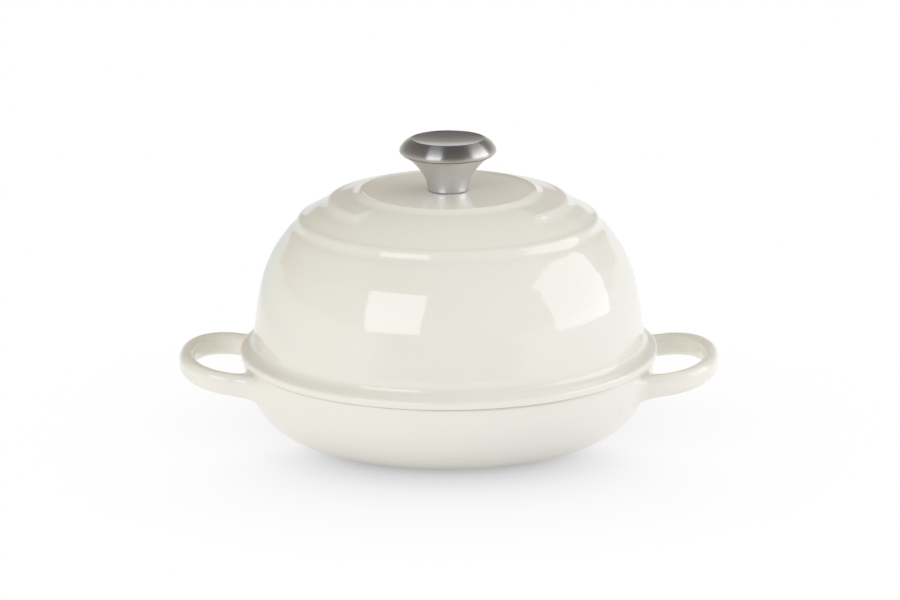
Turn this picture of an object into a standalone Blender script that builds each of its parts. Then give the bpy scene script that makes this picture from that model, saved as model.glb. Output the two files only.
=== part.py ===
"""Cast iron bread oven: a shallow dish with two loop handles, a tall dome lid and a steel knob.

Metres, +Z up. The dish stands on z = 0 with its centre on the Z axis. Its handles lie along X,
and the front, where the dome's middle ring is broken, faces -Y.
"""
import math

import bmesh
import bpy

# Clearances and facets
GAP = 0.0003
LIP_CLEARANCE = 0.0008
SCREW_CLEARANCE = 0.0004
CASTING_SEGMENTS = 56
KNOB_SEGMENTS = 36
FASTENER_SEGMENTS = 20
FILLET_STEPS = 2
ROOT_STEPS = 4
LOOP_STEPS = 9
SMOOTH_ANGLE = math.radians(35.0)
WALL_STEPS = 8
INSIDE_STEPS = 6

# Dish
DISH_RADIUS = 0.1232
DISH_HEIGHT = 0.0433
DISH_WALL = 0.0045
DISH_FLOOR = 0.0052
DISH_BOWL_WIDTH = 0.0315
RIM_ROUND = 0.0012
FOOT_RADIUS = 0.0985
FOOT_RING_WIDTH = 0.012
FOOT_RECESS = 0.0006
RIDGE_PITCH = 0.021
RIDGE_WIDTH = 0.005
RIDGE_HEIGHT = 0.0012

# Loop handles of the dish
HANDLE_REACH = 0.162
HANDLE_WIDTH = 0.097
HANDLE_THICKNESS = 0.0095
HANDLE_HEIGHT = 0.0126
HANDLE_ROOT_HEIGHT = 0.0138
HANDLE_ROUND = 0.0034
HANDLE_DROP = 0.0032
HANDLE_RISE = math.radians(8.0)
HANDLE_SQUARENESS = 2.2
ROOT_FLARE = 0.030
HOLE_CORNER = 0.010

# Dome: radii, and heights above its seat on the dish's rim
FLANGE_RADIUS = 0.125
FLANGE_THICKNESS = 0.0056
FLANGE_ROUND = 0.0016
FLANGE_FILLET = 0.007
LIP_DEPTH = 0.0038
DOME_WALL = 0.0043
DOME_DRAFT = math.radians(6.4)
DOME_RADIUS = 0.1173
DOME_STRAIGHT = 0.0320
DOME_TURN = math.radians(60.0)
DOME_HEIGHT = 0.0994
DOME_TOP_THICKNESS = 0.006
DOME_ROOF_RADIUS = 0.049

# Terraced top of the dome: radii, and drops below the flat panel
PANEL_RADIUS = 0.0466
PANEL_RIM_HEIGHT = 0.0007
PANEL_RIM_WIDTH = 0.0044
PANEL_STEP_RADIUS = 0.0540
PANEL_STEP_DROP = 0.0024
MIDDLE_RING_RADIUS = 0.0705
MIDDLE_RING_DROP = 0.0042
MIDDLE_STEP_RADIUS = 0.0748
MIDDLE_STEP_DROP = 0.0088
OUTER_RING_RADIUS = 0.0882
OUTER_RING_DROP = 0.0156
OUTER_STEP_RADIUS = 0.0892
OUTER_STEP_DROP = 0.0186
PANEL_FILLET = 0.0008
PANEL_RIM_ROUND = 0.0010
PANEL_EDGE_ROUND = 0.0022
STEP_FILLET = 0.0030
MIDDLE_RING_ROUND = 0.0055
OUTER_RING_ROUND = 0.0025
FRONT_BULGE = 0.0016
RING_BREAK = math.radians(44.0)
RING_BREAK_BLEND = math.radians(5.0)

# Knob: radii, and heights above the panel
KNOB_RADIUS = 0.0283
KNOB_HEIGHT = 0.0312
KNOB_SHOULDER_RADIUS = 0.0250
KNOB_SHOULDER_HEIGHT = 0.0292
KNOB_SHOULDER_ROUND = 0.0080
KNOB_EDGE_HEIGHT = 0.0252
KNOB_EDGE_ROUND = 0.0028
KNOB_PARTING_HEIGHT = 0.0222
KNOB_PARTING_RADIUS = 0.0272
KNOB_DISH_RADIUS = 0.0202
KNOB_DISH_DEPTH = 0.0024
KNOB_LIP_WIDTH = 0.0010
STEM_RADIUS = 0.0114
STEM_FOOT_ROUND = 0.0008
STEM_FLARE = 1.95
SPIGOT_RADIUS = 0.009
SPIGOT_DEPTH = 0.003

# Screw, washer and threaded insert
SCREW_RADIUS = 0.003
SCREW_HEAD_RADIUS = 0.0064
SCREW_HEAD_HEIGHT = 0.0030
SCREW_REACH = 0.011
INSERT_RADIUS = 0.0052
INSERT_LENGTH = 0.014
WASHER_RADIUS = 0.0085
WASHER_THICKNESS = 0.0012

# Heights that follow from the sizes above
SEAT_HEIGHT = DISH_HEIGHT + GAP
PANEL_HEIGHT = SEAT_HEIGHT + DOME_HEIGHT
ROOF_HEIGHT = PANEL_HEIGHT - DOME_TOP_THICKNESS
SCREW_HOLE_RADIUS = SCREW_RADIUS + SCREW_CLEARANCE


def clear_scene():
    for thing in list(bpy.data.objects):
        bpy.data.objects.remove(thing, do_unlink=True)


def finish(name, colour, roughness, metallic):
    """A Principled material of the given linear colour."""
    material = bpy.data.materials.new(name)
    material.use_nodes = True
    shader = material.node_tree.nodes["Principled BSDF"]
    shader.inputs["Base Color"].default_value = (*colour, 1.0)
    shader.inputs["Roughness"].default_value = roughness
    shader.inputs["Metallic"].default_value = metallic
    return material


def add_object(name, bm, material):
    bmesh.ops.recalc_face_normals(bm, faces=bm.faces)
    mesh = bpy.data.meshes.new(name)
    bm.to_mesh(mesh)
    bm.free()
    mesh.materials.append(material)
    mesh.shade_smooth()
    mesh.set_sharp_from_angle(angle=SMOOTH_ANGLE)
    thing = bpy.data.objects.new(name, mesh)
    bpy.context.collection.objects.link(thing)
    return thing


def arc(centre, radii, start, end, steps):
    """Points on an ellipse round centre, from the start to the end angle in degrees."""
    angles = [math.radians(start + (end - start) * i / steps) for i in range(steps + 1)]
    return [(centre[0] + radii[0] * math.cos(a), centre[1] + radii[1] * math.sin(a)) for a in angles]


def rounded_path(corners, steps=FILLET_STEPS):
    """An open path through (radius, height, fillet) corners, each turned with its fillet."""
    path = [corners[0][:2]]
    for before, corner, after in zip(corners, corners[1:], corners[2:]):
        x, z, fillet = corner
        to_before = math.atan2(before[1] - z, before[0] - x)
        to_after = math.atan2(after[1] - z, after[0] - x)
        opening = (to_after - to_before + math.pi) % (2 * math.pi) - math.pi
        middle = to_before + opening / 2
        half = abs(opening) / 2
        reach = fillet / math.sin(half)
        centre = (x + reach * math.cos(middle), z + reach * math.sin(middle))
        sweep = math.degrees(math.pi - abs(opening)) / 2
        facing = math.degrees(middle) + 180
        turn = -sweep if opening > 0 else sweep
        path += arc(centre, (fillet, fillet), facing - turn, facing + turn, steps)
    path.append(corners[-1][:2])
    return path


def turned(name, profile, segments, material, through=False):
    """Spin a profile of (radius, height) points round Z; a through piece has a bore."""
    bm = bmesh.new()
    verts = [bm.verts.new((radius, 0.0, height)) for radius, height in profile]
    pairs = list(zip(verts, verts[1:]))
    if through:
        pairs.append((verts[-1], verts[0]))
    edges = [bm.edges.new(pair) for pair in pairs]
    bmesh.ops.spin(
        bm, geom=verts + edges, cent=(0, 0, 0), axis=(0, 0, 1), angle=2 * math.pi, steps=segments,
        use_merge=True)
    bmesh.ops.remove_doubles(bm, verts=bm.verts, dist=0.00001)
    return add_object(name, bm, material)


def dish_wall(offset, low, steps):
    """Elliptical wall of the dish from height low up to its rim, drawn in by offset."""
    shelf = DISH_RADIUS - DISH_BOWL_WIDTH
    spread = (FOOT_RADIUS - shelf) / DISH_BOWL_WIDTH
    depth = DISH_HEIGHT / math.sqrt(1 - spread ** 2)
    radii = (DISH_BOWL_WIDTH - offset, depth - offset)
    start = -math.degrees(math.asin((DISH_HEIGHT - low) / radii[1]))
    return arc((shelf, DISH_HEIGHT), radii, start, 0, steps)


def handle_edge(x, side):
    """Height of a handle's lower (-1) or upper (1) edge at the distance x from the oven's axis."""
    inward = HANDLE_REACH - x
    height = HANDLE_HEIGHT + (HANDLE_ROOT_HEIGHT - HANDLE_HEIGHT) * inward / (HANDLE_REACH - DISH_RADIUS)
    return DISH_HEIGHT - HANDLE_DROP - inward * math.tan(HANDLE_RISE) + side * height / 2


def ridge_profile(floor_radius):
    """Low baking ridges on the dish's floor, from the outermost in to the centre."""
    points = []
    count = int((floor_radius - RIDGE_WIDTH) / RIDGE_PITCH)
    for ring in range(count, 0, -1):
        middle = ring * RIDGE_PITCH
        points += [
            (middle + RIDGE_WIDTH / 2, DISH_FLOOR),
            (middle + RIDGE_WIDTH / 6, DISH_FLOOR + RIDGE_HEIGHT),
            (middle - RIDGE_WIDTH / 6, DISH_FLOOR + RIDGE_HEIGHT),
            (middle - RIDGE_WIDTH / 2, DISH_FLOOR)]
    return points


def dish_outside():
    """Outside of the dish as a solid: foot ring, curved wall, rounded rim."""
    ring_inside = FOOT_RADIUS - FOOT_RING_WIDTH
    wall = dish_wall(0.0, 0.0, WALL_STEPS)
    rim = rounded_path([
        wall[-2] + (0.0,),
        (DISH_RADIUS, DISH_HEIGHT, RIM_ROUND),
        (0.0, DISH_HEIGHT, 0.0)])
    foot = [(0.0, FOOT_RECESS), (ring_inside - FOOT_RECESS, FOOT_RECESS), (ring_inside, 0.0)]
    return foot + wall[:-1] + rim[1:]


def dish_hollow():
    """Inside of the dish with its floor ridges, open at the top through a chamfered rim."""
    inside = dish_wall(DISH_WALL, DISH_FLOOR, INSIDE_STEPS)[:-1]
    rim_inside = DISH_RADIUS - DISH_WALL
    chamfer = RIM_ROUND / 2
    mouth = [
        (rim_inside, DISH_HEIGHT - chamfer),
        (rim_inside + chamfer + RIM_ROUND, DISH_HEIGHT + RIM_ROUND),
        (0.0, DISH_HEIGHT + RIM_ROUND)]
    return [(0.0, DISH_FLOOR)] + ridge_profile(inside[0][0])[::-1] + inside + mouth


def superellipse(centre_x, reach, half_width, steps):
    """Quarter outline of a loop's end, from its side at centre_x round to its tip."""
    power = 2 / HANDLE_SQUARENESS
    points = []
    for i in range(1, steps + 1):
        turn = math.pi / 2 * i / steps
        along = math.sin(turn) ** power
        across = max(math.cos(turn), 0.0) ** power
        points.append((centre_x + (reach - centre_x) * along, half_width * across))
    return points


def mirrored_loop(half):
    """Closed outline from its half at y >= 0, whose first and last points lie on the X axis."""
    return half + [(x, -y) for x, y in half[-2:0:-1]]


def handle_outlines():
    """Outer outline of the loop, rooted inside the dish's wall, and its hole, point for point."""
    half_width = HANDLE_WIDTH / 2
    root_radius = DISH_RADIUS - DISH_WALL - 2 * HANDLE_ROUND
    flare_radius = dish_wall(GAP, handle_edge(root_radius, -1), 1)[0][0]
    flare_y = half_width + ROOT_FLARE
    flare_x = math.sqrt((flare_radius + ROOT_FLARE) ** 2 - flare_y ** 2)
    flare_angle = math.degrees(math.atan2(flare_y, flare_x))
    outer = arc((0, 0), (root_radius, root_radius), 0, flare_angle, ROOT_STEPS)
    outer += arc((flare_x, flare_y), (ROOT_FLARE, ROOT_FLARE), 180 + flare_angle, 270, ROOT_STEPS)
    outer += superellipse(flare_x, HANDLE_REACH, half_width, LOOP_STEPS)

    hole_half_width = half_width - HANDLE_THICKNESS
    hole_radius = DISH_RADIUS + GAP
    corner_y = hole_half_width - HOLE_CORNER
    corner_x = math.sqrt((hole_radius + HOLE_CORNER) ** 2 - corner_y ** 2)
    corner_angle = math.degrees(math.atan2(corner_y, corner_x))
    hole = arc((0, 0), (hole_radius, hole_radius), 0, corner_angle, ROOT_STEPS + 1)[:-1]
    hole += arc((corner_x, corner_y), (HOLE_CORNER, HOLE_CORNER), 180 + corner_angle, 90, ROOT_STEPS)
    hole += superellipse(corner_x, HANDLE_REACH - HANDLE_THICKNESS, hole_half_width, LOOP_STEPS)
    return mirrored_loop(outer), mirrored_loop(hole)


def handle_blank(name, side, material):
    """Loop handle of one side: a ring of even height with rounded edges, rising to its tip."""
    bm = bmesh.new()
    rings = []
    for level in (-1, 1):
        for outline in handle_outlines():
            ring = []
            for x, y in outline:
                ring.append(bm.verts.new((side * x, y, handle_edge(x, level))))
            rings.append(ring)
    low_outer, low_hole, high_outer, high_hole = rings
    for first, second in (
            (low_outer, high_outer), (high_outer, high_hole), (high_hole, low_hole), (low_hole, low_outer)):
        for i in range(len(first)):
            bm.faces.new((first[i - 1], first[i], second[i], second[i - 1]))
    rims = [bm.edges.get((ring[i - 1], ring[i])) for ring in rings for i in range(len(ring))]
    bmesh.ops.recalc_face_normals(bm, faces=bm.faces)
    bmesh.ops.bevel(bm, geom=rims, offset=HANDLE_ROUND, segments=2, profile=0.5, affect="EDGES")
    return add_object(name, bm, material)


def combine(target, tool, operation):
    """Boolean of the target with a tool that is then only a guide."""
    cut = target.modifiers.new(tool.name, "BOOLEAN")
    cut.operation = operation
    cut.object = tool
    tool.hide_render = True
    tool.display_type = "WIRE"


def base_dish(enamel):
    """The dish, cast in one with its two loop handles and hollowed."""
    dish = turned("base_dish", dish_outside(), CASTING_SEGMENTS, enamel)
    combine(dish, handle_blank("left_handle_blank", -1, enamel), "UNION")
    combine(dish, handle_blank("right_handle_blank", 1, enamel), "UNION")
    combine(dish, turned("dish_hollow", dish_hollow(), CASTING_SEGMENTS, enamel), "DIFFERENCE")


def dome_wall(offset, top_radius, top_height, turn, steps):
    """Drafted wall of the dome, drawn in by offset, turning over towards its top."""
    straight_top = SEAT_HEIGHT + DOME_STRAIGHT

    def draft_radius(height):
        return DOME_RADIUS - offset - (height - SEAT_HEIGHT - FLANGE_THICKNESS) * math.tan(DOME_DRAFT)

    rise = (top_height - straight_top) / math.sin(turn)
    draw = (draft_radius(top_height) - top_radius) / (1 - math.cos(turn))
    points = []
    for i in range(steps + 1):
        angle = turn * i / steps
        height = straight_top + rise * math.sin(angle)
        points.append((draft_radius(height) - draw * (1 - math.cos(angle)), height))
    return points


def terrace_profile():
    """The dome's top from the panel's screw hole out to the foot of the outer ring."""
    rim_outside = PANEL_RADIUS + PANEL_RIM_WIDTH
    rim_height = PANEL_HEIGHT + PANEL_RIM_HEIGHT
    return rounded_path([
        (SCREW_HOLE_RADIUS, PANEL_HEIGHT, 0.0),
        (PANEL_RADIUS, PANEL_HEIGHT, PANEL_FILLET),
        (PANEL_RADIUS + 2 * PANEL_RIM_HEIGHT, rim_height, PANEL_RIM_ROUND),
        (rim_outside, rim_height, PANEL_EDGE_ROUND),
        (PANEL_STEP_RADIUS, PANEL_HEIGHT - PANEL_STEP_DROP, STEP_FILLET),
        (MIDDLE_RING_RADIUS, PANEL_HEIGHT - MIDDLE_RING_DROP, MIDDLE_RING_ROUND),
        (MIDDLE_STEP_RADIUS, PANEL_HEIGHT - MIDDLE_STEP_DROP, STEP_FILLET),
        (OUTER_RING_RADIUS, PANEL_HEIGHT - OUTER_RING_DROP, OUTER_RING_ROUND),
        (OUTER_STEP_RADIUS, PANEL_HEIGHT - OUTER_STEP_DROP, 0.0)])


def flange_profile():
    """From the foot of the dome's wall out over the flange, under it and in to its lip."""
    flange_top = SEAT_HEIGHT + FLANGE_THICKNESS
    wall_radius = DOME_RADIUS - FLANGE_FILLET * math.tan(DOME_DRAFT)
    lip_outside = DISH_RADIUS - DISH_WALL - LIP_CLEARANCE
    lip_inside = DOME_RADIUS - DOME_WALL
    lip_bottom = SEAT_HEIGHT - LIP_DEPTH
    fillet_centre = (wall_radius + FLANGE_FILLET, flange_top + FLANGE_FILLET)
    edge = rounded_path([
        fillet_centre[:1] + (flange_top, 0.0),
        (FLANGE_RADIUS, flange_top, FLANGE_ROUND),
        (FLANGE_RADIUS, SEAT_HEIGHT, FLANGE_ROUND / 2),
        (lip_outside, SEAT_HEIGHT, GAP),
        (lip_outside, lip_bottom, FLANGE_ROUND / 2),
        (lip_inside, lip_bottom, FLANGE_ROUND / 2),
        (lip_inside, flange_top, 0.0)])
    fillet = arc(fillet_centre, (FLANGE_FILLET, FLANGE_FILLET), 180, 270, 2 * FILLET_STEPS)
    return fillet[:-1] + edge[1:]


def dome_profile():
    top = terrace_profile()
    outside = dome_wall(0.0, *top[-1], DOME_TURN, WALL_STEPS)[::-1]
    inside = dome_wall(DOME_WALL, DOME_ROOF_RADIUS, ROOF_HEIGHT, math.pi / 2, INSIDE_STEPS)
    return top + outside[1:] + flange_profile() + inside + [(SCREW_HOLE_RADIUS, ROOF_HEIGHT)]


def front_height(radius):
    """Height of the plain slope that replaces the middle ring at the dome's front."""
    share = (radius - PANEL_STEP_RADIUS) / (OUTER_RING_RADIUS - PANEL_STEP_RADIUS)
    drop = PANEL_STEP_DROP + (OUTER_RING_DROP - PANEL_STEP_DROP) * share
    return PANEL_HEIGHT - drop + 4 * FRONT_BULGE * share * (1 - share)


def break_middle_ring(mesh):
    """Fade the middle ring into a plain slope at the front, facing -Y."""
    for vert in mesh.vertices:
        x, y, z = vert.co
        radius = math.hypot(x, y)
        if not PANEL_STEP_RADIUS < radius < OUTER_RING_RADIUS or z < ROOF_HEIGHT - OUTER_RING_DROP / 2:
            continue
        plain = front_height(radius)
        if z < plain:
            continue
        from_front = abs(math.atan2(x, -y))
        ring_share = min(max((from_front - RING_BREAK) / RING_BREAK_BLEND, 0.0), 1.0)
        vert.co.z = plain + (z - plain) * ring_share


def dome_lid(enamel):
    lid = turned("dome_lid", dome_profile(), CASTING_SEGMENTS, enamel, through=True)
    break_middle_ring(lid.data)
    return lid


def knob_cap(steel):
    """Polished cap: a dished top, a slanted band, a narrow under edge and a spigot."""
    top = PANEL_HEIGHT + KNOB_HEIGHT
    parting = PANEL_HEIGHT + KNOB_PARTING_HEIGHT
    curve = (KNOB_DISH_RADIUS ** 2 + KNOB_DISH_DEPTH ** 2) / (2 * KNOB_DISH_DEPTH)
    spread = math.degrees(math.asin(KNOB_DISH_RADIUS / curve))
    dish = arc((0.0, top - KNOB_DISH_DEPTH + curve), (curve, curve), -90, spread - 90, INSIDE_STEPS)
    band = rounded_path([
        dish[-1] + (0.0,),
        (KNOB_DISH_RADIUS + KNOB_LIP_WIDTH, top + GAP, KNOB_LIP_WIDTH),
        (KNOB_SHOULDER_RADIUS, PANEL_HEIGHT + KNOB_SHOULDER_HEIGHT, KNOB_SHOULDER_ROUND),
        (KNOB_RADIUS + KNOB_EDGE_ROUND / 3, PANEL_HEIGHT + KNOB_EDGE_HEIGHT, KNOB_EDGE_ROUND),
        (KNOB_PARTING_RADIUS, parting, 0.0)])
    spigot = [
        (SPIGOT_RADIUS, parting),
        (SPIGOT_RADIUS, parting - SPIGOT_DEPTH),
        (0.0, parting - SPIGOT_DEPTH)]
    return turned("knob_cap", dish + band[1:] + spigot, KNOB_SEGMENTS, steel)


def stem_trumpet(foot, top):
    """Outside of the stem, widening from its foot to the cap with a power of its height."""
    points = []
    for i in range(WALL_STEPS + 1):
        share = i / WALL_STEPS
        radius = STEM_RADIUS + (KNOB_PARTING_RADIUS - STEM_RADIUS) * share ** STEM_FLARE
        points.append((radius, foot + (top - foot) * share))
    return points


def knob_stem(steel):
    foot = PANEL_HEIGHT + GAP
    top = PANEL_HEIGHT + KNOB_PARTING_HEIGHT - GAP
    bore = INSERT_RADIUS + GAP
    recess = SPIGOT_RADIUS + GAP
    profile = [(bore, foot), (STEM_RADIUS - STEM_FOOT_ROUND, foot)]
    profile += stem_trumpet(foot + STEM_FOOT_ROUND, top)
    profile += [(recess, top), (recess, top - SPIGOT_DEPTH), (bore, top - SPIGOT_DEPTH)]
    return turned("knob_stem", profile, KNOB_SEGMENTS, steel, through=True)


def knob_insert(steel):
    """Threaded bush in the stem, open towards the screw."""
    foot = PANEL_HEIGHT + GAP
    bore = SCREW_RADIUS + GAP
    depth = SCREW_REACH + GAP
    profile = [
        (0.0, foot + INSERT_LENGTH),
        (INSERT_RADIUS, foot + INSERT_LENGTH),
        (INSERT_RADIUS, foot),
        (bore, foot),
        (bore, foot + depth),
        (0.0, foot + depth)]
    return turned("knob_insert", profile, FASTENER_SEGMENTS, steel)


def screw_washer(steel):
    high = ROOF_HEIGHT - GAP
    low = high - WASHER_THICKNESS
    profile = [
        (SCREW_HOLE_RADIUS, high),
        (WASHER_RADIUS, high),
        (WASHER_RADIUS, low),
        (SCREW_HOLE_RADIUS, low)]
    return turned("screw_washer", profile, FASTENER_SEGMENTS, steel, through=True)


def knob_screw(steel):
    """Pan head screw from under the dome's roof up into the insert."""
    head_top = ROOF_HEIGHT - WASHER_THICKNESS - 2 * GAP
    head_bottom = head_top - SCREW_HEAD_HEIGHT
    tip = PANEL_HEIGHT + SCREW_REACH
    head = rounded_path([
        (SCREW_RADIUS, head_top, 0.0),
        (SCREW_HEAD_RADIUS, head_top, GAP),
        (SCREW_HEAD_RADIUS, head_bottom, SCREW_HEAD_HEIGHT / 3),
        (0.0, head_bottom, 0.0)])
    shank = [(0.0, tip), (SCREW_RADIUS - GAP, tip), (SCREW_RADIUS, tip - GAP)]
    return turned("knob_screw", shank + head, FASTENER_SEGMENTS, steel)


def build():
    clear_scene()
    enamel = finish("cream_enamel", (0.80, 0.77, 0.68), 0.12, 0.0)
    polished = finish("polished_steel", (0.60, 0.60, 0.61), 0.10, 1.0)
    satin = finish("satin_steel", (0.58, 0.56, 0.54), 0.32, 1.0)
    plain = finish("plated_steel", (0.55, 0.55, 0.56), 0.35, 1.0)
    base_dish(enamel)
    dome_lid(enamel)
    knob_cap(polished)
    knob_stem(satin)
    knob_insert(plain)
    knob_screw(plain)
    screw_washer(plain)


build()
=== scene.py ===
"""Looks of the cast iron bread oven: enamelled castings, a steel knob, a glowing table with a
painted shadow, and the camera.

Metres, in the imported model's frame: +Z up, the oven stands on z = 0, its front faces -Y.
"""

import math

import bmesh
import bpy
import numpy as np
from mathutils import Matrix, Vector


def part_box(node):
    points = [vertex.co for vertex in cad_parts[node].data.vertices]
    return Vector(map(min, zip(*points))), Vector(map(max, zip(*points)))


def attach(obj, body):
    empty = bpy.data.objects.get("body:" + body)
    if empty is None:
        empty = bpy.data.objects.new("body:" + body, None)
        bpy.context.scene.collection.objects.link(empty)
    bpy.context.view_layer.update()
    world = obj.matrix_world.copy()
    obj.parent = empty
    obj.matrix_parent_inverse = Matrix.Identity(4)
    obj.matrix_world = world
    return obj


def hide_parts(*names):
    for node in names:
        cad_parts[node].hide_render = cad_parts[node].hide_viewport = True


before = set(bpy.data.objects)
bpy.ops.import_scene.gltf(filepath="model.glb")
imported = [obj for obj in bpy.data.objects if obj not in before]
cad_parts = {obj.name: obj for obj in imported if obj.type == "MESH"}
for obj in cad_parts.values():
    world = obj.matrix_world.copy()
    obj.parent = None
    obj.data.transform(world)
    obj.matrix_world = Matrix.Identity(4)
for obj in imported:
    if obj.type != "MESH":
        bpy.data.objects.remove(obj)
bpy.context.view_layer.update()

MM = 0.001

# Sides of the turned castings and of the knob, and the angle from which an edge looks crisp
CASTING_SIDES = 224
KNOB_SIDES = 128
CRISP_EDGE = math.radians(40)

# Fits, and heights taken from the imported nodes
GAP = 0.3 * MM
LIP_DEPTH = 3.8 * MM
LIP_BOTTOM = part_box("dome_lid")[0].z
SEAT = LIP_BOTTOM + LIP_DEPTH
DISH_HEIGHT = SEAT - GAP
STEM_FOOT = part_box("knob_stem")[0].z
PANEL = STEM_FOOT - GAP
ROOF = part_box("screw_washer")[1].z + GAP


# Small tools

def linear(code):
    """Linear RGBA of an sRGB hex colour."""
    channels = [int(code[i:i + 2], 16) / 255 for i in (1, 3, 5)]
    out = [c / 12.92 if c <= 0.04045 else ((c + 0.055) / 1.055) ** 2.4 for c in channels]
    return (*out, 1.0)


def put(tree, kind, links=None, values=None, **settings):
    """Add a node: settings are its own properties, values its socket values, links its inputs."""
    node = tree.nodes.new("ShaderNode" + kind)
    for key, value in settings.items():
        setattr(node, key, value)
    for socket, value in (values or {}).items():
        node.inputs[socket].default_value = value
    for socket, source in (links or {}).items():
        tree.links.new(source, node.inputs[socket])
    return node


def ramp(tree, source, *stops):
    """Colour ramp between two (position, value or colour) stops."""
    node = put(tree, "ValToRGB", {"Fac": source})
    for element, (position, value) in zip(node.color_ramp.elements, stops):
        element.position = position
        element.color = value if isinstance(value, tuple) else (value, value, value, 1.0)
    return node.outputs["Color"]


def new_material(name):
    """A material with its node tree and its shader."""
    material = bpy.data.materials.new(name)
    material.use_nodes = True
    tree = material.node_tree
    return material, tree, tree.nodes["Principled BSDF"]


def arc(centre, radii, start, end, steps):
    """Points on an ellipse round centre, from the start to the end angle in degrees."""
    angles = [math.radians(start + (end - start) * i / steps) for i in range(steps + 1)]
    return [
        (centre[0] + radii[0] * math.cos(a), centre[1] + radii[1] * math.sin(a)) for a in angles]


def rounded_path(corners, steps):
    """An open path through (radius, height, fillet) corners, each turned with its fillet."""
    path = [corners[0][:2]]
    for before, corner, after in zip(corners, corners[1:], corners[2:]):
        x, z, fillet = corner
        to_before = math.atan2(before[1] - z, before[0] - x)
        to_after = math.atan2(after[1] - z, after[0] - x)
        opening = (to_after - to_before + math.pi) % (2 * math.pi) - math.pi
        middle = to_before + opening / 2
        reach = fillet / math.sin(abs(opening) / 2)
        centre = (x + reach * math.cos(middle), z + reach * math.sin(middle))
        sweep = math.degrees(math.pi - abs(opening)) / 2
        facing = math.degrees(middle) + 180
        turn = -sweep if opening > 0 else sweep
        path += arc(centre, (fillet, fillet), facing - turn, facing + turn, steps)
    path.append(corners[-1][:2])
    return path


def smooth_line(points, steps):
    """Catmull-Rom line through the points, with the given steps from each to the next."""
    ends = [tuple(2 * np.array(points[0]) - points[1])] + list(points)
    ends.append(tuple(2 * np.array(points[-1]) - points[-2]))
    line = []
    for p0, p1, p2, p3 in zip(ends, ends[1:], ends[2:], ends[3:]):
        p0, p1, p2, p3 = (np.array(p) for p in (p0, p1, p2, p3))
        for i in range(steps):
            t = i / steps
            line.append(tuple(0.5 * (
                2 * p1 + (p2 - p0) * t + (2 * p0 - 5 * p1 + 4 * p2 - p3) * t ** 2
                + (3 * p1 - p0 - 3 * p2 + p3) * t ** 3)))
    line.append(tuple(points[-1]))
    return line


def in_metres(points):
    """The points, given in millimetres."""
    return [tuple(value * MM for value in point) for point in points]


def above_panel(points):
    """Points of radius and height above the dome's panel, given in millimetres."""
    return [(radius * MM, PANEL + height * MM) for radius, height in points]


def turned(name, profile, sides, inside=None):
    """Spin a (radius, height) profile round Z, closed unless it starts on the axis. Faces from the
    point of index inside on wear the second material."""
    bm = bmesh.new()
    rings = []
    for radius, height in profile:
        if radius == 0:
            rings.append([bm.verts.new((0.0, 0.0, height))])
            continue
        rings.append([
            bm.verts.new((radius * math.cos(a), radius * math.sin(a), height))
            for a in (2 * math.pi * i / sides for i in range(sides))])
    pairs = list(zip(rings, rings[1:]))
    if len(rings[0]) > 1:
        pairs.append((rings[-1], rings[0]))
    for index, (first, second) in enumerate(pairs):
        second_material = inside is not None and index >= inside
        for i in range(sides):
            corners = [first[i - 1], first[i]] if len(first) > 1 else [first[0]]
            corners += [second[i], second[i - 1]] if len(second) > 1 else [second[0]]
            if len(corners) > 2:
                face = bm.faces.new(corners)
                face.material_index = int(second_material)
    return piece(name, bm)


def piece(name, bm):
    """An object of the mesh, smooth but for its crisp edges."""
    bmesh.ops.recalc_face_normals(bm, faces=bm.faces)
    mesh = bpy.data.meshes.new(name)
    bm.to_mesh(mesh)
    bm.free()
    mesh.shade_smooth()
    mesh.set_sharp_from_angle(angle=CRISP_EDGE)
    thing = bpy.data.objects.new(name, mesh)
    bpy.context.scene.collection.objects.link(thing)
    return thing


def combine(target, tool, operation):
    """Boolean of the target's mesh with the tool, which is then gone."""
    cut = target.modifiers.new("cut", "BOOLEAN")
    cut.operation = operation
    cut.object = tool
    cut.solver = "MANIFOLD"
    bpy.context.view_layer.update()
    graph = bpy.context.evaluated_depsgraph_get()
    mesh = bpy.data.meshes.new_from_object(target.evaluated_get(graph))
    target.modifiers.clear()
    target.data = mesh
    bpy.data.objects.remove(tool, do_unlink=True)


def read_points(mesh):
    """The mesh's points as the rows of an array."""
    points = np.empty(len(mesh.vertices) * 3)
    mesh.vertices.foreach_get("co", points)
    return points.reshape(-1, 3)


def write_points(mesh, points):
    """Put the mesh's points where the rows of the array say."""
    mesh.vertices.foreach_set("co", points.ravel())
    mesh.update()


def wear(thing, materials):
    """Give the piece its materials in order, and leave what its faces say of them as it is."""
    worn = thing.data.materials
    for index, material in enumerate(materials):
        if index < len(worn):
            worn[index] = material
        else:
            worn.append(material)


def dress(thing, body, materials, node):
    """Give the piece its materials and its body, and hide the CAD node that it stands for."""
    wear(thing, materials)
    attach(thing, body)
    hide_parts(node)


# Finishes

# Sockets of a Mix node that mixes colours
MIX_SHARE, MIX_UNDER, MIX_OVER, MIX_RESULT = 0, 6, 7, 2


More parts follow.
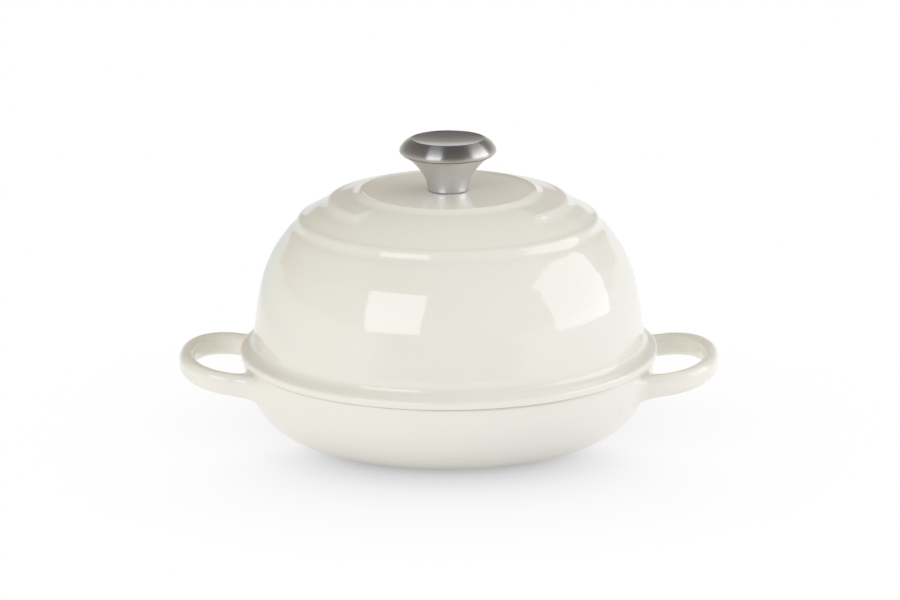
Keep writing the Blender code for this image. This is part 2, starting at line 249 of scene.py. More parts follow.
def glossy_enamel():
    """Glossy cream enamel on cast iron: vitreous, so it is smooth and clear on top, and it flows a
    little unevenly over the sand-cast iron, which the eye sees as slight waves in reflections."""
    material, tree, shader = new_material("glossy_cream_enamel")
    place = put(tree, "TexCoord").outputs["Object"]
    cloud = put(tree, "TexNoise", {"Vector": place}, {"Scale": 1 / (38 * MM), "Detail": 3.0})
    cream = put(
        tree, "Mix", {MIX_SHARE: cloud.outputs["Fac"]},
        {MIX_UNDER: linear("#E9E5DA"), MIX_OVER: linear("#ECE8DF")}, data_type="RGBA")
    tree.links.new(cream.outputs[MIX_RESULT], shader.inputs["Base Color"])
    shader.inputs["Roughness"].default_value = 0.06
    shader.inputs["IOR"].default_value = 1.52
    waves = put(tree, "TexNoise", {"Vector": place}, {"Scale": 1 / (9 * MM), "Detail": 1.0})
    bump = put(
        tree, "Bump", {"Height": waves.outputs["Fac"]}, {"Strength": 0.25, "Distance": 0.04 * MM})
    tree.links.new(bump.outputs["Normal"], shader.inputs["Normal"])
    return material


def satin_black_enamel():
    """Satin black enamel of the baking side: finely textured, so highlights spread wide."""
    material, tree, shader = new_material("satin_black_enamel")
    place = put(tree, "TexCoord").outputs["Object"]
    speckle = put(tree, "TexNoise", {"Vector": place}, {"Scale": 1 / (1.2 * MM), "Detail": 4.0})
    tone = ramp(tree, speckle.outputs["Fac"], (0.35, linear("#161617")), (0.7, linear("#232324")))
    tree.links.new(tone, shader.inputs["Base Color"])
    rough = ramp(tree, speckle.outputs["Fac"], (0.3, 0.42), (0.7, 0.52))
    tree.links.new(rough, shader.inputs["Roughness"])
    shader.inputs["IOR"].default_value = 1.5
    bump = put(
        tree, "Bump", {"Height": speckle.outputs["Fac"]}, {"Strength": 0.35, "Distance": 0.05 * MM})
    tree.links.new(bump.outputs["Normal"], shader.inputs["Normal"])
    return material


def turned_steel(name, colour, smooth, rough, groove, depth, spread):
    """Steel with lathe lines: rings a groove apart, which widen its highlights and draw them out
    across the rings by the spread. Real lines are too fine to show, so these are coarser."""
    material, tree, shader = new_material(name)
    shader.inputs["Base Color"].default_value = linear(colour)
    shader.inputs["Metallic"].default_value = 1.0
    place = put(tree, "TexCoord").outputs["Object"]
    parts = put(tree, "SeparateXYZ", {"Vector": place})
    level = put(tree, "CombineXYZ", {"X": parts.outputs["X"], "Y": parts.outputs["Y"]})
    radius = put(tree, "VectorMath", {0: level.outputs["Vector"]}, operation="LENGTH")
    along = put(
        tree, "CombineXYZ", {"X": radius.outputs["Value"], "Z": parts.outputs["Z"]})
    lines = put(
        tree, "TexNoise", {"Vector": along.outputs["Vector"]}, {"Scale": 1 / groove, "Detail": 2.0})
    gloss = ramp(tree, lines.outputs["Fac"], (0.3, smooth), (0.7, rough))
    tree.links.new(gloss, shader.inputs["Roughness"])
    around = put(tree, "Tangent", direction_type="RADIAL", axis="Z")
    tree.links.new(around.outputs["Tangent"], shader.inputs["Tangent"])
    shader.inputs["Anisotropic"].default_value = spread
    quarter_turn = 0.25
    shader.inputs["Anisotropic Rotation"].default_value = quarter_turn
    bump = put(tree, "Bump", {"Height": lines.outputs["Fac"]}, {"Strength": 0.3, "Distance": depth})
    tree.links.new(bump.outputs["Normal"], shader.inputs["Normal"])
    return material


# The dish

FOOT_RADIUS = 98.5 * MM
DISH_RADIUS = 123.2 * MM
BOWL_WIDTH = 32.3 * MM
DISH_WALL = 4.5 * MM
DISH_FLOOR = 5.2 * MM


def dish_wall(offset, low, steps):
    """Elliptical wall of the dish from height low up to its rim, drawn in by offset."""
    shelf = DISH_RADIUS - BOWL_WIDTH
    spread = (FOOT_RADIUS - shelf) / BOWL_WIDTH
    depth = DISH_HEIGHT / math.sqrt(1 - spread ** 2)
    radii = (BOWL_WIDTH - offset, depth - offset)
    start = -math.degrees(math.asin((DISH_HEIGHT - low) / radii[1]))
    return arc((shelf, DISH_HEIGHT), radii, start, 0, steps)


def dish_outside():
    """Outside of the dish as a solid: foot ring, curved wall, rounded rim."""
    recess = 0.6 * MM
    ring_inside = FOOT_RADIUS - 12 * MM
    wall = dish_wall(0.0, recess, steps=48)
    rim = rounded_path([
        wall[-2] + (0.0,),
        (DISH_RADIUS, DISH_HEIGHT, 1.2 * MM),
        (0.0, DISH_HEIGHT, 0.0)], steps=8)
    foot = rounded_path([
        (0.0, recess, 0.0),
        (ring_inside - 2 * recess, recess, recess),
        (ring_inside, 0.0, recess),
        (FOOT_RADIUS - recess / 2, 0.0, recess),
        wall[0] + (0.0,)], steps=4)
    return foot[:-1] + wall[:-1] + rim[1:]


def dish_hollow():
    """Baking side of the dish: low ridges on the floor, curved wall, chamfered mouth."""
    inside = dish_wall(DISH_WALL, DISH_FLOOR, steps=40)[:-1]
    corner_radius = inside[0][0]
    floor = [(0.0, DISH_FLOOR, 0.0)]
    pitch = 21 * MM
    width = 5 * MM
    height = 1.2 * MM
    for ring in range(1, 1 + int((corner_radius - width) / pitch)):
        middle = ring * pitch
        floor += [
            (middle - width / 2, DISH_FLOOR, 1.5 * MM),
            (middle - width / 6, DISH_FLOOR + height, 0.8 * MM),
            (middle + width / 6, DISH_FLOOR + height, 0.8 * MM),
            (middle + width / 2, DISH_FLOOR, 1.5 * MM)]
    floor.append(inside[0] + (0.0,))
    rim_inside = DISH_RADIUS - DISH_WALL
    mouth = [
        (rim_inside, DISH_HEIGHT - 0.8 * MM),
        (rim_inside + 0.25 * MM, DISH_HEIGHT - 0.25 * MM),
        (rim_inside + 0.9 * MM, DISH_HEIGHT),
        (rim_inside + 2 * MM, DISH_HEIGHT + 1.2 * MM),
        (0.0, DISH_HEIGHT + 1.2 * MM)]
    return rounded_path(floor, steps=4)[:-1] + inside + mouth


# The loop handles

HANDLE_REACH = 162 * MM
HANDLE_HALF_WIDTH = 48.5 * MM
HANDLE_THICKNESS = 9.5 * MM
HANDLE_HEIGHT = 12.6 * MM
HANDLE_ROOT_GROWTH = 1.2 * MM
HANDLE_DROP = 3.2 * MM
HANDLE_ROUND = 4.4 * MM
HANDLE_SQUARENESS = 2.2
HANDLE_RISE = math.radians(8.0)
ROOT_DEPTH = 3.1 * MM
ROOT_FLARE = 30 * MM
ROOT_BLEND = 7 * MM
HOLE_DEPTH = 2.5 * MM
HOLE_CORNER = 10 * MM


def handle_edge(x, side):
    """Height of a handle's lower (-1) or upper (1) edge at the distance x from the oven's axis."""
    inward = HANDLE_REACH - x
    height = HANDLE_HEIGHT + HANDLE_ROOT_GROWTH * inward / (HANDLE_REACH - DISH_RADIUS)
    return DISH_HEIGHT - HANDLE_DROP - inward * math.tan(HANDLE_RISE) + side * height / 2


def superellipse(centre_x, reach, half_width):
    """Quarter outline of a loop's end, from its side at centre_x round to its tip."""
    steps = 80
    power = 2 / HANDLE_SQUARENESS
    points = []
    for i in range(steps + 1):
        turn = math.pi / 2 * i / steps
        along = math.sin(turn) ** power
        across = max(math.cos(turn), 0.0) ** power
        points.append((centre_x + (reach - centre_x) * along, half_width * across))
    return points


def loop_lines():
    """Outer and inner half outlines of a handle at y >= 0, from inside the wall to the tip."""
    flare_radius = DISH_RADIUS - ROOT_DEPTH
    flare_y = HANDLE_HALF_WIDTH + ROOT_FLARE
    flare_x = math.sqrt((flare_radius + ROOT_FLARE) ** 2 - flare_y ** 2)
    flare_angle = math.degrees(math.atan2(flare_y, flare_x))
    outer = arc((flare_x, flare_y), (ROOT_FLARE, ROOT_FLARE), 180 + flare_angle, 270, steps=40)
    outer += superellipse(flare_x, HANDLE_REACH, HANDLE_HALF_WIDTH)[1:]
    half_width = HANDLE_HALF_WIDTH - HANDLE_THICKNESS
    hole_radius = DISH_RADIUS - HOLE_DEPTH
    corner_y = half_width - HOLE_CORNER
    corner_x = math.sqrt((hole_radius + HOLE_CORNER) ** 2 - corner_y ** 2)
    corner_angle = math.degrees(math.atan2(corner_y, corner_x))
    corner = (HOLE_CORNER, HOLE_CORNER)
    inner = arc((corner_x, corner_y), corner, 180 + corner_angle, 90, steps=24)
    inner += superellipse(corner_x, HANDLE_REACH - HANDLE_THICKNESS, half_width)[1:]
    return np.array(outer), np.array(inner)


def both_halves(line):
    """The half outline at y >= 0, followed back by its mirror image."""
    return np.concatenate([line, line[-2::-1] * (1, -1)])


def even_steps(line, count):
    """The line again, with count points at even distances along it."""
    lengths = np.hypot(*np.diff(line, axis=0).T)
    along = np.concatenate([[0.0], np.cumsum(lengths)])
    spots = np.linspace(0, along[-1], count)
    return np.stack([np.interp(spots, along, line[:, axis]) for axis in (0, 1)], axis=1)


def loop_handle(name, side):
    """One handle as a strap swept round its loop, both ends rooted inside the dish's wall."""
    nearly_half = 0.47
    outer, inner = (both_halves(even_steps(line, count=64)) for line in loop_lines())
    bm = bmesh.new()
    rings = []
    for (outer_x, outer_y), (inner_x, inner_y) in zip(outer, inner):
        thickness = math.hypot(outer_x - inner_x, outer_y - inner_y)
        middle = (outer_x + inner_x) / 2
        low, high = handle_edge(middle, -1), handle_edge(middle, 1)
        height = high - low
        turn = min(HANDLE_ROUND, nearly_half * thickness)
        section = []
        for across, up, start in ((1, 1, 0), (0, 1, 90), (0, 0, 180), (1, 0, 270)):
            centre = (turn + across * (thickness - 2 * turn), turn + up * (height - 2 * turn))
            section += arc(centre, (turn, turn), start, start + 90, steps=6)
        ring = []
        for across, up in section:
            share = across / thickness
            x = inner_x + (outer_x - inner_x) * share
            y = inner_y + (outer_y - inner_y) * share
            ring.append(bm.verts.new((side * x, y, low + up)))
        rings.append(ring)
    for first, second in zip(rings, rings[1:]):
        for i in range(len(first)):
            bm.faces.new((first[i - 1], first[i], second[i], second[i - 1]))
    bm.faces.new(rings[0])
    bm.faces.new(rings[-1])
    return piece(name, bm)


# Shorter edges of an outline count as none
NO_LENGTH = 1e-6 * MM


def outline_distance(points, outline):
    """Signed distance of 2D points from a closed outline, negative inside it."""
    nearest = np.full(len(points), np.inf)
    inside = np.zeros(len(points), bool)
    for start, end in zip(outline, np.roll(outline, -1, axis=0)):
        edge = end - start
        length = math.sqrt(edge @ edge)
        if length < NO_LENGTH:
            continue
        share = np.clip((points - start) @ edge / (edge @ edge), 0, 1)
        gap = points - start - share[:, None] * edge
        nearest = np.minimum(nearest, np.einsum("ij,ij->i", gap, gap))
        crosses = (start[1] > points[:, 1]) != (end[1] > points[:, 1])
        if crosses.any():
            at = start[0] + (points[:, 1] - start[1]) * edge[0] / edge[1]
            inside ^= crosses & (points[:, 0] < at)
    return np.where(inside, -1, 1) * np.sqrt(nearest)


# The blend starts this far out to the sides and this high, and fades out just under the rim
BLEND_SIDE = 82 * MM
BLEND_LOW = 12 * MM
BLEND_FADE = 3.5 * MM


def casting_distance(points, dish_line, loop_outer, loop_inner):
    """Distance from the dish with its handles, the two blended where they meet."""
    radius = np.hypot(points[:, 0], points[:, 1])
    from_dish = outline_distance(np.stack([radius, points[:, 2]], axis=1), dish_line)
    flat = np.stack([np.abs(points[:, 0]), points[:, 1]], axis=1)
    from_loop = np.maximum(outline_distance(flat, loop_outer), -outline_distance(flat, loop_inner))
    low = handle_edge(flat[:, 0], -1)
    high = handle_edge(flat[:, 0], 1)
    beyond = np.abs(points[:, 2] - (low + high) / 2) - (high - low) / 2
    beyond = beyond * math.cos(HANDLE_RISE)
    across = np.stack([from_loop, beyond], axis=1) + HANDLE_ROUND
    from_strap = (
        np.linalg.norm(np.maximum(across, 0), axis=1)
        + np.minimum(across.max(axis=1), 0) - HANDLE_ROUND)
    overlap = np.maximum(ROOT_BLEND - np.abs(from_dish - from_strap), 0)
    fade = np.clip((DISH_HEIGHT - 0.4 * MM - points[:, 2]) / BLEND_FADE, 0, 1)
    return np.minimum(from_dish, from_strap) - fade * overlap ** 2 / (4 * ROOT_BLEND)


def blend_roots(thing):
    """Draw the casting's surface onto the blended form round the handles' roots."""
    co = read_points(thing.data)
    below_rim = co[:, 2] < DISH_HEIGHT - 1.0 * MM
    near = (np.abs(co[:, 0]) > BLEND_SIDE) & below_rim & (co[:, 2] > BLEND_LOW)
    outer, inner = loop_lines()
    inside_wall = [(100 * MM, 0.0)]
    forms = (
        np.array(dish_outside() + [(0.0, DISH_HEIGHT)]),
        np.concatenate([both_halves(outer), inside_wall]),
        both_halves(inner))
    points = co[near]
    step = 0.05 * MM
    gentlest = 0.25
    for _ in range(3):
        here = casting_distance(points, *forms)
        slope = np.stack([
            (casting_distance(points + offset, *forms) - here) / step
            for offset in step * np.eye(3)], axis=1)
        size = np.maximum((slope ** 2).sum(axis=1), gentlest)
        points = points - slope * (here / size)[:, None]
    co[near] = points
    write_points(thing.data, co)


def dish_casting(cream, black):
    """The dish in one with its handles, and hollowed: cream outside, black on the baking side."""
    dish = turned("dish_casting", dish_outside(), CASTING_SIDES)
    wear(dish, [cream, black])
    for name, side in (("left_loop", -1), ("right_loop", 1)):
        loop = loop_handle(name, side)
        wear(loop, [cream, black])
        combine(dish, loop, "UNION")
    blend_roots(dish)
    hollow = turned("hollow", dish_hollow(), CASTING_SIDES, inside=0)
    wear(hollow, [cream, black])
    combine(dish, hollow, "DIFFERENCE")
    dish.data.shade_smooth()
    dish.data.set_sharp_from_angle(angle=CRISP_EDGE)
    dress(dish, "dish", [cream, black], "base_dish")


# The dome

FLANGE_RADIUS = 125 * MM
FLANGE_TOP = SEAT + 4.7 * MM
LIP_OUTSIDE = DISH_RADIUS - DISH_WALL - 0.8 * MM
LIP_INSIDE = 113 * MM
SCREW_HOLE = 3.4 * MM

# The middle ring: its inner and outer radius, and the degrees from the front at which it starts
# to rise on each side, and over which it rises
RING_INSIDE = 57 * MM
RING_OUTSIDE = 84 * MM
RING_END = 44.5
RING_END_LENGTH = 4


def dome_side():
    """Outside of the dome's wall from the outer ring's foot down to the flange's fillet."""
    return smooth_line(in_metres([
        (94.5, 119.9), (96.0, 118.3), (97.7, 116.2), (99.3, 114.1), (102.3, 109.9), (104.9, 105.8),
        (107.2, 101.0), (109.3, 96.2), (111.1, 91.0), (112.6, 85.2), (113.85, 79.0), (114.8, 73.0),
        (115.6, 67.0), (116.3, 61.0), (116.65, 57.2)]), steps=6)


def terraces():
    """The dome's top from the panel's screw hole out to the foot of the outer ring."""
    bead = [
        (48.9, 0.0), (49.4, 0.05), (49.9, 0.15), (50.4, 0.3), (50.9, 0.48), (51.4, 0.66),
        (51.9, 0.75), (52.4, 0.68), (52.9, 0.4), (53.4, 0.02), (54.0, -0.45)]
    middle_ring = [
        (55.5, -1.4), (57.0, -2.0), (60.0, -2.5), (63.0, -2.95), (65.0, -3.3), (66.5, -3.55),
        (68.0, -3.72), (69.3, -3.88), (70.3, -4.2), (71.2, -4.75), (72.1, -5.6), (73.0, -6.6),
        (74.0, -7.6), (75.0, -8.4), (76.0, -9.0)]
    outer_ring = [
        (78.0, -9.97), (80.0, -10.95), (82.0, -12.1), (84.0, -13.4), (85.5, -14.3), (86.5, -14.75),
        (87.5, -15.12), (88.3, -15.45), (89.0, -15.9), (89.5, -16.4), (90.0, -17.2),
        (90.5, -18.25), (91.0, -19.35), (91.6, -20.35), (92.4, -21.25), (93.3, -22.05),
        (94.5, -23.1)]
    rings = smooth_line(above_panel(bead + middle_ring + outer_ring), steps=3)
    return [(SCREW_HOLE, PANEL)] + rings


def fill_in(line, longest):
    """The line with long stretches divided into even parts."""
    out = [line[0]]
    for start, end in zip(line, line[1:]):
        length = math.hypot(end[0] - start[0], end[1] - start[1])
        parts = max(1, math.ceil(length / longest))
        for i in range(1, parts + 1):
            share = i / parts
            out.append(tuple(a + (b - a) * share for a, b in zip(start, end)))
    return out


def dome_outside():
    """Outside of the dome down to its flange, and where the cream enamel ends on it: at the lip's
    inner corner, the last fillet of the path."""
    top = fill_in(terraces(), longest=1.2 * MM)
    side = dome_side()
    sweep = (7.2 * MM, 5.0 * MM)
    foot = (side[-1][0] + 0.995 * sweep[0], FLANGE_TOP + 5.3 * MM)
    turn = arc(foot, sweep, 183, 252, steps=16)
    fillet_steps = 6
    flange = rounded_path([
        turn[-1] + (0.0,),
        (FLANGE_RADIUS, FLANGE_TOP - 0.2 * MM, 1.6 * MM),
        (FLANGE_RADIUS, SEAT, 0.8 * MM),
        (LIP_OUTSIDE, SEAT, 0.3 * MM),
        (LIP_OUTSIDE, LIP_BOTTOM, 0.8 * MM),
        (LIP_INSIDE, LIP_BOTTOM, 0.8 * MM),
        (LIP_INSIDE, FLANGE_TOP, 0.0)], fillet_steps)
    line = top + side[1:] + turn + flange[1:-1]
    return line, len(line) - (fillet_steps + 1)


def dome_inside():
    """Baking side of the dome up to its roof round the screw hole."""
    wall = smooth_line(in_metres([
        (113.0, 49.2), (112.4, 58.0), (111.3, 67.0), (109.5, 79.0), (106.8, 91.0), (102.9, 101.0),
        (97.8, 110.0), (92.4, 117.0), (84.0, 124.5), (74.0, 130.0), (62.0, 134.0), (49.0, 136.4),
        (36.0, 137.0)]), steps=3)
    return wall + [(SCREW_HOLE, ROOF)]


def break_ring(mesh):
    """Fade the middle ring into a plain slope over the front."""
    inner_drop = 2.05 * MM
    outer_drop = 13.45 * MM
    bulge = 1.2 * MM
    co = read_points(mesh)
    radius = np.hypot(co[:, 0], co[:, 1])
    share = (radius - RING_INSIDE) / (RING_OUTSIDE - RING_INSIDE)
    drop = inner_drop + (outer_drop - inner_drop) * share
    plain = PANEL - drop + 4 * bulge * share * (1 - share)
    from_front = np.degrees(np.abs(np.arctan2(co[:, 0], -co[:, 1])))
    ring = np.clip((from_front - RING_END) / RING_END_LENGTH, 0, 1)
    ring = ring * ring * (3 - 2 * ring)
    on_top = co[:, 2] > PANEL - 17 * MM
    touched = (share > 0) & (share < 1) & on_top & (co[:, 2] > plain)
    co[:, 2] = np.where(touched, plain + (co[:, 2] - plain) * ring, co[:, 2])
    write_points(mesh, co)


def dome_casting(cream, black):
    """The dome with its flange and lip: cream outside, black on the baking side."""
    outside, cream_end = dome_outside()
    dome = turned("dome_casting", outside + dome_inside(), CASTING_SIDES, inside=cream_end)
    break_ring(dome.data)
    dress(dome, "lid", [cream, black], "dome_lid")


# The knob and its fastener

KNOB_TOP = PANEL + 31.2 * MM
KNOB_PARTING = PANEL + 22.2 * MM
SPIGOT_RADIUS = 9.0 * MM
SPIGOT_LENGTH = 3 * MM


def knob_cap(polished, brushed):
    """Polished cap: a finely turned dish in its top, a bulging band and a narrow under edge."""
    dish_radius = 20.4 * MM
    depth = 1.1 * MM
    dish_steps = 24
    dish = []
    for i in range(dish_steps + 1):
        share = i / dish_steps
        dish.append((dish_radius * share, KNOB_TOP - depth * (1 - share ** 2)))
    band = smooth_line([dish[-1]] + above_panel([
        (20.8, 31.3), (21.2, 31.4), (21.6, 31.44), (22.1, 31.37), (23.0, 30.95), (24.6, 30.0),
        (26.0, 28.9), (27.2, 27.6), (28.1, 26.3), (28.6, 25.2), (28.75, 24.4), (28.6, 23.6),
        (28.1, 22.8), (27.5, 22.35)]), steps=4)
    spigot_end = KNOB_PARTING - SPIGOT_LENGTH
    under = [
        (27.1 * MM, KNOB_PARTING), (SPIGOT_RADIUS, KNOB_PARTING), (SPIGOT_RADIUS, spigot_end),
        (0.0, spigot_end)]
    cap = turned("knob_cap_turned", dish + band[1:] + under, KNOB_SIDES)
    for polygon in cap.data.polygons:
        centre = polygon.center
        on_top = centre.z > KNOB_TOP - depth - GAP
        in_dish = on_top and math.hypot(centre.x, centre.y) < dish_radius
        polygon.material_index = int(in_dish)
    dress(cap, "lid", [polished, brushed], "knob_cap")


def knob_stem(satin):
    """Trumpet from the panel up to the cap, bored for the insert and for the cap's spigot."""
    bore = 5.5 * MM
    socket = SPIGOT_RADIUS + GAP
    foot = PANEL + GAP
    top = KNOB_PARTING - GAP
    socket_floor = top - SPIGOT_LENGTH
    round_foot = (0.8 * MM, 0.8 * MM)
    base = arc((11.4 * MM, foot + round_foot[1]), round_foot, -90, 0, steps=6)
    trumpet = smooth_line([base[-1]] + above_panel([
        (12.4, 3.0), (12.9, 5.2), (13.8, 7.8), (15.2, 10.5), (17.0, 13.2), (19.1, 15.7),
        (21.8, 18.4), (24.5, 20.5), (27.0, 21.9)]), steps=4)
    profile = [(bore, foot)] + base + trumpet[1:]
    profile += [(socket, top), (socket, socket_floor), (bore, socket_floor)]
    stem = turned("knob_stem_turned", profile, KNOB_SIDES)
    dress(stem, "lid", [satin], "knob_stem")


def screw_and_washer(plated):
    """Pan head screw with a cross recess, and its washer, under the dome's roof."""
    washer_low, washer_top = (corner.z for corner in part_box("screw_washer"))
    washer_radius = 8.5 * MM
    bore_middle = washer_top - 0.6 * MM
    washer = turned("washer_pressed", rounded_path([
        (SCREW_HOLE, bore_middle, 0.0),
        (SCREW_HOLE, washer_top, 0.15 * MM),
        (washer_radius, washer_top, 0.3 * MM),
        (washer_radius, washer_low, 0.3 * MM),
        (SCREW_HOLE, washer_low, 0.15 * MM),
        (SCREW_HOLE, bore_middle, 0.0)], steps=4)[:-1], sides=64)
    dress(washer, "lid", [plated], "screw_washer")
    head_low, tip = (corner.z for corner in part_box("knob_screw"))
    head_top = washer_low - GAP
    head_radius = 6.4 * MM
    shank = 3.0 * MM
    pitch = 1.0 * MM
    thread = []
    height = PANEL
    while height + pitch < tip:
        thread += [(shank, height), (shank - pitch / 2, height + pitch / 2)]
        height += pitch
    thread += [(shank, height), (shank - 0.6 * MM, tip), (0.0, tip)]
    head = rounded_path([
        (0.0, head_low, 0.0),
        (head_radius, head_low, 1.6 * MM),
        (head_radius, head_top, 0.25 * MM),
        (shank, head_top, 0.0)], steps=6)
    screw = turned("screw_pan_head", head + thread, sides=48)
    for angle in (0, 90):
        bm = bmesh.new()
        slot = (7.0 * MM, 1.3 * MM, 3.4 * MM)
        place = Matrix.Rotation(math.radians(angle), 4, "Z") @ Matrix.Diagonal((*slot, 1.0))
        bmesh.ops.create_cube(bm, size=1.0, matrix=Matrix.Translation((0, 0, head_low)) @ place)
        combine(screw, piece("slot_cutter", bm), "DIFFERENCE")
    screw.data.set_sharp_from_angle(angle=CRISP_EDGE)
    dress(screw, "lid", [plated], "knob_screw")


# Table, light and camera

def glowing_table():
    """White table: a sheet that glows from below, so it also lights the oven from underneath, and
    fades into the white surround. Lamps throw no shadow on it. Its shade under the oven is a
    painted shadow: the glow is dimmed by ambient occlusion where the oven hides the room, most of
    all in front."""
    bm = bmesh.new()
    bmesh.ops.create_circle(bm, cap_ends=True, segments=96, radius=1.2)
    table = piece("table", bm)
    material, tree, shader = new_material("glowing_table_painted_shadow")
    output = tree.nodes["Material Output"]
    tree.nodes.remove(shader)
    place = put(tree, "TexCoord").outputs["Object"]
    distance = put(tree, "VectorMath", {0: place}, operation="LENGTH").outputs["Value"]
    parts = put(tree, "SeparateXYZ", {"Vector": place})
    facing = put(tree, "Math", {0: parts.outputs["Y"], 1: distance}, operation="DIVIDE")
    # Painted shadow: it is weighted to lie deepest in front of the oven and faint at its sides and
    # back
    painted_shadow_front = put(
        tree, "MapRange", {"Value": facing.outputs[0]},
        {"From Min": -0.4, "From Max": -0.95, "To Min": 0.2, "To Max": 1.0},
        interpolation_type="SMOOTHSTEP")
    # Painted shadow: ambient occlusion from the oven takes up to 0.56 off the table's glow
    open_share = put(tree, "AmbientOcclusion", values={"Distance": 150 * MM}, samples=8)
    painted_shadow_depth = put(
        tree, "MapRange", {"Value": open_share.outputs["AO"]},
        {"From Min": 0.0, "From Max": 0.95, "To Min": 0.56, "To Max": 0.0})
    painted_shadow = put(
        tree, "Math", {0: painted_shadow_depth.outputs[0], 1: painted_shadow_front.outputs[0]}, operation="MULTIPLY")
    level = put(tree, "Math", {1: painted_shadow.outputs[0]}, {0: 1.0}, operation="SUBTRACT")
    # The table's glow, with the painted shadow taken out of it
    sheet = put(tree, "Emission", {"Strength": level.outputs[0]}, {"Color": (1, 1, 1, 1)})
    edge = put(
        tree, "MapRange", {"Value": distance}, {"From Min": 0.40, "From Max": 0.60},
        interpolation_type="SMOOTHSTEP")
    clear = put(tree, "BsdfTransparent")
    mixed = put(
        tree, "MixShader", {"Fac": edge.outputs[0], 1: sheet.outputs[0], 2: clear.outputs[0]})
    tree.links.new(mixed.outputs[0], output.inputs["Surface"])
    table.data.materials.append(material)


def surround():
    """White for the camera, and a studio for the oven. Its walls and ceiling light matt surfaces
    softly. Gloss and metal show the white floor and backdrop low down, which are dark behind the
    camera, and above them the dim upper part of the room, where only the lamps are bright."""
    world = bpy.data.worlds.new("surround")
    bpy.context.scene.world = world
    world.use_nodes = True
    tree = world.node_tree
    tree.nodes.clear()
    direction = put(tree, "TexCoord").outputs["Generated"]
    parts = put(tree, "SeparateXYZ", {"Vector": direction}).outputs
    level = put(tree, "VectorMath", {0: direction}, {1: (1, 1, 0)}, operation="MULTIPLY")
    heading = put(tree, "VectorMath", {0: level.outputs[0]}, operation="NORMALIZE").outputs[0]

    def fade(axis, start, end):
        """0 to 1 between two values of one of the direction's parts."""
        return put(
            tree, "MapRange", {"Value": parts[axis]}, {"From Min": start, "From Max": end},
            interpolation_type="SMOOTHSTEP").outputs[0]

    def walls(*colours):
        """Light from the front left, front right, back right and back left corners, each fading
        into its neighbours."""
        total = None
        for corner, colour in zip(((-1, -1, 0), (1, -1, 0), (1, 1, 0), (-1, 1, 0)), colours):
            axis = Vector(corner).normalized()
            turn = put(tree, "VectorMath", {0: heading}, {1: axis}, operation="DOT_PRODUCT")
            facing = put(tree, "Math", {0: turn.outputs["Value"]}, {1: 0.0}, operation="MAXIMUM")
            share = put(tree, "Math", {0: facing.outputs[0]}, {1: 2.0}, operation="POWER")
            part = put(
                tree, "VectorMath", {"Scale": share.outputs[0]}, {0: colour},
                operation="SCALE").outputs[0]
            if total is not None:
                part = put(tree, "VectorMath", {0: total, 1: part}, operation="ADD").outputs[0]
            total = part
        return total

    def blend(share, under, over):
        """Two colours or outputs mixed, all over where the share is 1."""
        node = put(tree, "Mix", {MIX_SHARE: share}, data_type="RGBA")
        for socket, value in ((MIX_UNDER, under), (MIX_OVER, over)):
            if isinstance(value, tuple):
                node.inputs[socket].default_value = (*value, 1.0)
            else:
                tree.links.new(value, node.inputs[socket])
        return node.outputs[MIX_RESULT]

    lighting = walls(
        (0.54, 0.53, 0.44), (0.58, 0.63, 0.70), (0.72, 0.68, 0.57), (0.605, 0.585, 0.54))
    ceiling, floor = (0.70, 0.68, 0.60), (0.73, 0.73, 0.63)
    lighting = blend(fade("Z", 0.62, 0.80), lighting, ceiling)
    lighting = blend(fade("Z", -0.03, 0.03), floor, lighting)

    left, right, behind_camera = (0.70, 0.78, 0.80), (0.91, 0.93, 0.97), (0.12, 0.12, 0.12)
    backdrop = blend(fade("X", -0.35, 0.05), left, right)
    backdrop = blend(fade("Y", -0.86, -0.62), behind_camera, backdrop)
    mirrored = walls(
        (0.30, 0.30, 0.32), (0.26, 0.25, 0.24), (0.47, 0.44, 0.41), (0.30, 0.27, 0.22))
    for start, end, colour in (
            (0.22, 0.34, (0.22, 0.21, 0.21)),
            (0.45, 0.60, (0.155, 0.145, 0.15)),
            (0.80, 0.92, (0.12, 0.125, 0.135))):
        mirrored = blend(fade("Z", start, end), mirrored, colour)
    mirrored = blend(fade("Z", 0.09, 0.17), backdrop, mirrored)

    path = put(tree, "LightPath").outputs
    colour = blend(path["Is Glossy Ray"], lighting, mirrored)
    lit = put(tree, "Background", {"Color": colour}, {"Strength": 1.0})
    white = put(tree, "Background", values={"Color": (1, 1, 1, 1), "Strength": 1.0})
    seen = put(
        tree, "Math", {0: path["Is Camera Ray"], 1: path["Is Transmission Ray"]},
        operation="MAXIMUM")
    shown = put(
        tree, "MixShader", {"Fac": seen.outputs[0], 1: lit.outputs[0], 2: white.outputs[0]})
    output = put(tree, "OutputWorld", {"Surface": shown.outputs[0]})
    output.is_active_output = True


def bearing(azimuth, elevation):
    """Unit vector to an azimuth from the oven's front and an elevation, both in degrees."""
    a, e = math.radians(azimuth), math.radians(elevation)
    return Vector((math.sin(a) * math.cos(e), -math.cos(a) * math.cos(e), math.sin(e)))


def rolled(degrees):
    """A turn round the line of sight."""
    return Matrix.Rotation(math.radians(degrees), 4, "Z").to_quaternion()


def softbox(name, azimuth, elevation, width, height, radiance, aim, roll):
    """Cool rectangular lamp, seen from aim on the bearing and turned to it."""
    distance = 1.6
    light = bpy.data.lights.new(name, "AREA")
    light.shape = "RECTANGLE"
    light.size = width
    light.size_y = height
    light.energy = radiance * math.pi * width * height
    light.color = (0.86, 0.895, 1.0)
    lamp = bpy.data.objects.new(name, light)
    away = bearing(azimuth, elevation)
    lamp.location = Vector(aim) + away * distance
    lamp.rotation_euler = (away.to_track_quat("Z", "Y") @ rolled(roll)).to_euler()
    bpy.context.scene.collection.objects.link(lamp)


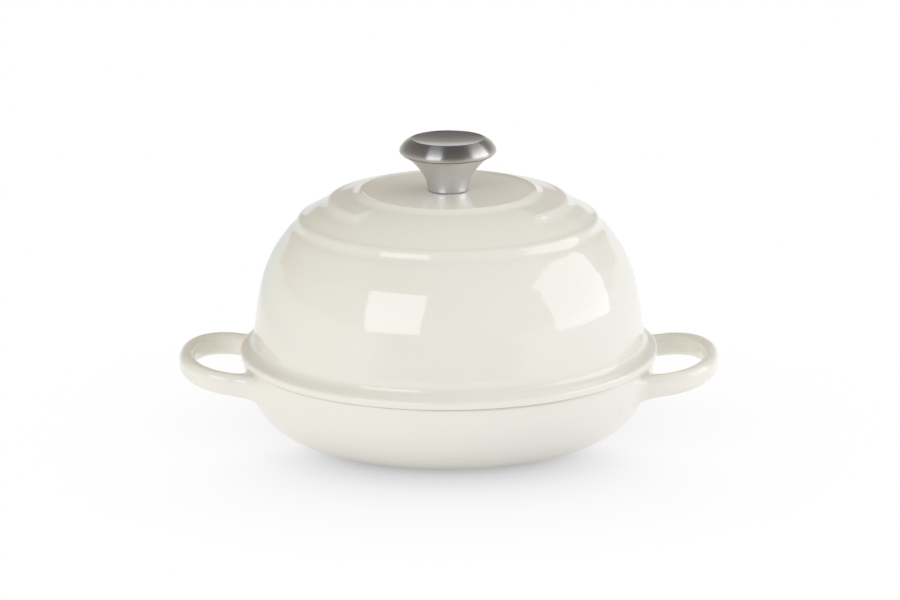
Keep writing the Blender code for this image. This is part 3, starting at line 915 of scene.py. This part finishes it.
def camera():
    """Camera at the photograph's height and angle, level but for a slight roll."""
    aim = Vector((0.85 * MM, 0, 75.3 * MM))
    distance = 2.2
    away = bearing(azimuth=1.2, elevation=14.93)
    data = bpy.data.cameras.new("camera")
    data.sensor_width = 36
    data.sensor_fit = "HORIZONTAL"
    data.lens = 146.96
    data.clip_end = 20
    thing = bpy.data.objects.new("camera", data)
    thing.location = aim + distance * away
    thing.rotation_mode = "QUATERNION"
    thing.rotation_quaternion = (-away).to_track_quat("-Z", "Y") @ rolled(-0.27)
    bpy.context.scene.collection.objects.link(thing)
    bpy.context.scene.camera = thing


def build():
    """The stage, then the oven from its dish up."""
    bpy.context.scene.view_settings.view_transform = "Standard"
    camera()
    glowing_table()
    surround()
    softbox(
        "left_softbox", azimuth=-34, elevation=25.1, width=1.03, height=0.98, radiance=3.2,
        aim=(-0.028, -0.104, 0.095), roll=4)
    softbox(
        "right_softbox", azimuth=92.7, elevation=22.2, width=1.48, height=1.28, radiance=2.1,
        aim=(0.070, -0.076, 0.099), roll=-6)
    cream = glossy_enamel()
    black = satin_black_enamel()
    # The cap's band: bright, but its lathe lines smear what it mirrors across them
    polished = turned_steel(
        "polished_stainless_steel", "#D0CBC4", smooth=0.31, rough=0.36, groove=0.30 * MM,
        depth=0.002 * MM, spread=1.0)
    # The cap's dish: finer and brighter, so that the light in it draws a crescent
    brushed = turned_steel(
        "turned_stainless_steel", "#C6C6C6", smooth=0.15, rough=0.20, groove=0.20 * MM,
        depth=0.004 * MM, spread=0.3)
    # The stem: satin, with the panel and the room in it as soft bands
    satin = turned_steel(
        "satin_stainless_steel", "#DFDDDC", smooth=0.30, rough=0.38, groove=0.20 * MM,
        depth=0.01 * MM, spread=0.5)
    # Screw, washer and insert: dull blue-grey zinc with wide, weak highlights
    plated = turned_steel(
        "zinc_plated_steel", "#B9BBBD", smooth=0.30, rough=0.42, groove=0.50 * MM,
        depth=0.01 * MM, spread=0.0)
    dish_casting(cream, black)
    dome_casting(cream, black)
    knob_cap(polished, brushed)
    knob_stem(satin)
    screw_and_washer(plated)
    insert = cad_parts["knob_insert"]
    insert.data.materials.clear()
    insert.data.materials.append(plated)


build()
bpy.context.view_layer.update()
